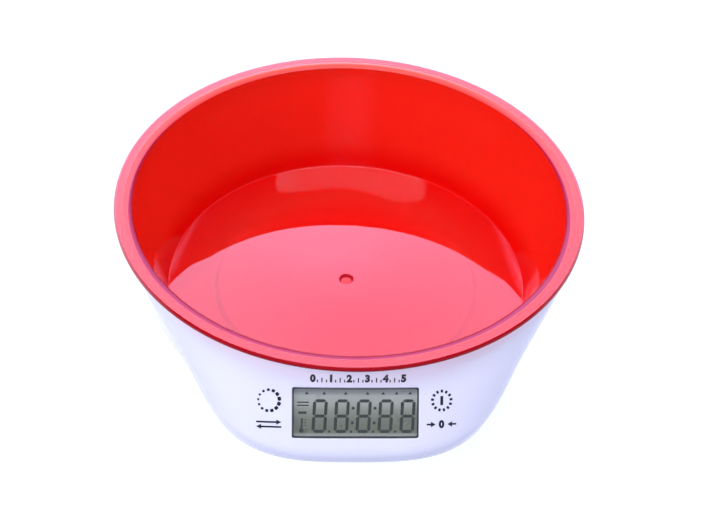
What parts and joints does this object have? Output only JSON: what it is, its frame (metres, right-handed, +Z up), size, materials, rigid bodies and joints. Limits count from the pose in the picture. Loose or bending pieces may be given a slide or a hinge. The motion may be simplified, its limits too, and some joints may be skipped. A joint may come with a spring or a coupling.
{
  "type": "digital kitchen scale",
  "caption": "Round kitchen scale with a white shell, a sloping display console and a lift-off translucent red mixing bowl.",
  "frame": {"origin": "on the table, under the middle of the whole footprint; the bowl's axis stands 7.65 mm behind it", "axes": "+Z up; the display console faces -Y; +X is to the right of someone reading the display"},
  "size_m": [0.2, 0.2157, 0.075],
  "materials": {
    "clear_red": "clear moulded polystyrene, tinted red, polished",
    "white_gloss": "cool white moulded plastic, smooth",
    "white_matte": "white moulded plastic, fine texture",
    "steel": "zinc plated",
    "aluminium": "milled",
    "gauge_foil": "coated foil",
    "foot_rubber": "soft moulded rubber",
    "black_plastic": "dull",
    "wire_insulation": "insulation sleeve",
    "battery_wrap": "shrunk sleeve",
    "board_green": "solder mask",
    "component_brown": "ceramic",
    "clear_window": "clear acrylic",
    "display_grey": "reflective liquid crystal glass",
    "gilt_contact": "plated spring contact"
  },
  "bodies": {
    "base": {"upper_housing": "white_gloss", "base_cover": "white_matte", "housing_screws": "steel", "rubber_feet": "foot_rubber", "load_cell": "aluminium", "strain_gauges": "gauge_foil", "cell_screws": "steel", "load_cell_cable": "black_plastic", "batteries": "battery_wrap", "battery_springs": "steel", "battery_contacts": "steel", "battery_wires": "wire_insulation", "circuit_board": "board_green", "processor_cover": "black_plastic", "board_components": "component_brown", "board_screws": "steel", "display_window": "clear_window", "display_glass": "display_grey", "display_frame": "white_matte", "contact_strip": "foot_rubber", "unit_key_spring": "gilt_contact", "tare_key_spring": "gilt_contact"},
    "platform": {"platform": "white_matte", "platform_screws": "steel", "carrier_plate": "steel", "carrier_screws": "steel", "cell_spacer": "steel"},
    "bowl": {"bowl": "clear_red"},
    "battery_door": {"battery_door": "white_matte"}
  },
  "joints": [
    {"name": "platform_press", "type": "slide", "parent": "base", "child": "platform", "axis": [0, 0, -1], "range_m": [0, 0.0005], "stiffness_N_per_m": 100000, "deforming": ["load_cell"]},
    {"name": "bowl_lift", "type": "slide", "parent": "platform", "child": "bowl", "axis": [0, 0, 1], "range_m": [0, 0.08]},
    {"name": "battery_door_hinge", "type": "hinge", "parent": "base", "child": "battery_door", "pos_m": [0, 0.03043, 0.0029], "axis": [-1, 0, 0], "range_deg": [0, 90]}
  ]
}
